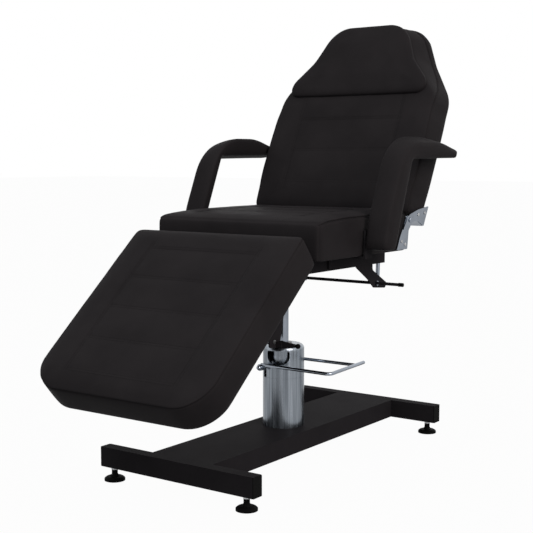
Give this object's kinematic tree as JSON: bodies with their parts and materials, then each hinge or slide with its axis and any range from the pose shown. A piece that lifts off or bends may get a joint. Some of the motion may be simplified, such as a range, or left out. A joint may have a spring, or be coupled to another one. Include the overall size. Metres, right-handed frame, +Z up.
{
  "type": "hydraulic tattoo chair",
  "caption": "Reclining tattoo client chair: padded seat, backrest and leg rest with fixed arms on a foot-pumped lift column and a low wide steel base.",
  "frame": {"origin": "on the floor under the axis of the pump and the swivel", "axes": "+Z up, -Y towards the foot end, +X towards the seated person's left, the side with the pedal bar and the release knobs"},
  "size_m": [0.794, 1.4654, 1.4214],
  "materials": {
    "black_steel": "satin powder coat",
    "chrome": "polished",
    "zinc_steel": "zinc plated",
    "pump_steel": "dull grey",
    "black_plastic": "fine texture",
    "black_leatherette": "fine grain, soft sheen",
    "board": "black-stained plywood"
  },
  "bodies": {
    "base": {"base_beam": "black_steel", "front_cross_tube": "black_steel", "rear_cross_tube": "black_steel", "tube_end_caps": "black_plastic", "foot_nuts": "zinc_steel", "pump_skirt": "chrome", "pump_housing": "chrome", "pump_body": "pump_steel", "pump_gland": "pump_steel", "pump_flange_bolts": "zinc_steel"},
    "foot_front_left": {"levelling_foot_front_left": "black_plastic"},
    "foot_front_right": {"levelling_foot_front_right": "black_plastic"},
    "foot_rear_left": {"levelling_foot_rear_left": "black_plastic"},
    "foot_rear_right": {"levelling_foot_rear_right": "black_plastic"},
    "pedal": {"pedal_loop": "chrome", "pedal_shaft": "chrome"},
    "lift": {"piston": "chrome"},
    "seat": {"seat_mount": "black_steel", "seat_rail_left": "black_steel", "seat_rail_right": "black_steel", "seat_front_crossbar": "black_steel", "seat_rear_crossbar": "black_steel", "seat_board": "board", "seat_cushion": "black_leatherette", "leg_hinge_lugs": "black_steel", "leg_hinge_pins": "zinc_steel", "seat_hinge_plates": "chrome", "hinge_rivets": "chrome", "seat_plate_screws": "zinc_steel", "rear_drop_plates": "black_steel", "front_drop_plates": "black_steel", "strut_stub_pins": "zinc_steel", "lock_bushes": "chrome", "lever_bracket": "black_steel", "arm_left": "black_leatherette", "arm_right": "black_leatherette", "arm_brackets": "black_steel", "arm_bolts": "zinc_steel"},
    "backrest": {"back_board": "board", "back_cushion": "black_leatherette", "head_pillow": "black_leatherette", "back_frame": "black_steel", "back_hinge_plates": "chrome", "back_plate_screws": "zinc_steel", "back_strut_lugs": "black_steel", "back_strut_top_pins": "zinc_steel"},
    "leg_rest": {"leg_board": "board", "leg_cushion": "black_leatherette", "leg_frame": "black_steel", "leg_strut_lugs": "black_steel", "leg_strut_top_pins": "zinc_steel"},
    "back_strut_tubes": {"back_strut_tubes": "black_steel"},
    "back_strut_rods": {"back_strut_rods": "chrome"},
    "leg_strut_tubes": {"leg_strut_tubes": "black_steel"},
    "leg_strut_rods": {"leg_strut_rods": "chrome"},
    "lock_pull": {"lock_rod": "black_steel", "lock_knob": "black_plastic"},
    "release_lever": {"release_lever": "black_steel", "lever_knob": "black_plastic"}
  },
  "joints": [
    {"name": "foot_front_left_screw", "type": "slide", "parent": "base", "child": "foot_front_left", "axis": [0, 0, -1], "range_m": [0, 0.008]},
    {"name": "foot_front_right_screw", "type": "slide", "parent": "base", "child": "foot_front_right", "axis": [0, 0, -1], "range_m": [0, 0.008]},
    {"name": "foot_rear_left_screw", "type": "slide", "parent": "base", "child": "foot_rear_left", "axis": [0, 0, -1], "range_m": [0, 0.008]},
    {"name": "foot_rear_right_screw", "type": "slide", "parent": "base", "child": "foot_rear_right", "axis": [0, 0, -1], "range_m": [0, 0.008]},
    {"name": "pedal_press", "type": "hinge", "parent": "base", "child": "pedal", "pos_m": [-0.031, 0, 0.296], "axis": [0, 1, 0], "range_deg": [0, 18], "stiffness_Nm_per_rad": 4, "springref_deg": -34.38},
    {"name": "lift_slide", "type": "slide", "parent": "base", "child": "lift", "axis": [0, 0, 1], "range_m": [-0.13, 0.02]},
    {"name": "seat_swivel", "type": "hinge", "parent": "lift", "child": "seat", "pos_m": [0, 0, 0.6], "axis": [0, 0, 1], "continuous": true},
    {"name": "backrest_recline", "type": "hinge", "parent": "seat", "child": "backrest", "pos_m": [0.308, 0.263, 0.761], "axis": [1, 0, 0], "range_deg": [-64, 0]},
    {"name": "leg_rest_raise", "type": "hinge", "parent": "seat", "child": "leg_rest", "pos_m": [0.135, -0.271, 0.653], "axis": [1, 0, 0], "range_deg": [-40, 10]},
    {"name": "back_strut_swing", "type": "hinge", "parent": "backrest", "child": "back_strut_tubes", "pos_m": [0.148, 0.354, 0.733], "axis": [1, 0, 0], "range_deg": [0, 91]},
    {"name": "back_strut_slide", "type": "slide", "parent": "back_strut_tubes", "child": "back_strut_rods", "axis": [0, -0.0665, -0.9978], "range_m": [-0.064, 0]},
    {"name": "leg_strut_swing", "type": "hinge", "parent": "leg_rest", "child": "leg_strut_tubes", "pos_m": [0.16, -0.3209, 0.602], "axis": [1, 0, 0], "range_deg": [-12, 46]},
    {"name": "leg_strut_slide", "type": "slide", "parent": "leg_strut_tubes", "child": "leg_strut_rods", "axis": [0, 0.091, -0.9959], "range_m": [-0.0115, 0.044]},
    {"name": "lock_rod_pull", "type": "slide", "parent": "seat", "child": "lock_pull", "axis": [1, 0, 0], "range_m": [0, 0.012], "stiffness_N_per_m": 800, "springref_m": -0.005},
    {"name": "release_lever_lift", "type": "hinge", "parent": "seat", "child": "release_lever", "pos_m": [0.192, -0.289, 0.42], "axis": [0, -1, 0], "range_deg": [0, 15], "stiffness_Nm_per_rad": 0.3, "springref_deg": -22.92}
  ],
  "couplings": [
    {"joint": "back_strut_swing", "follows": "backrest_recline", "ratio": -1.4035},
    {"joint": "back_strut_slide", "follows": "backrest_recline", "m_per_rad": 0.056},
    {"joint": "leg_strut_swing", "follows": "leg_rest_raise", "ratio": -1.1395},
    {"joint": "leg_strut_slide", "follows": "leg_rest_raise", "m_per_rad": -0.06229}
  ]
}
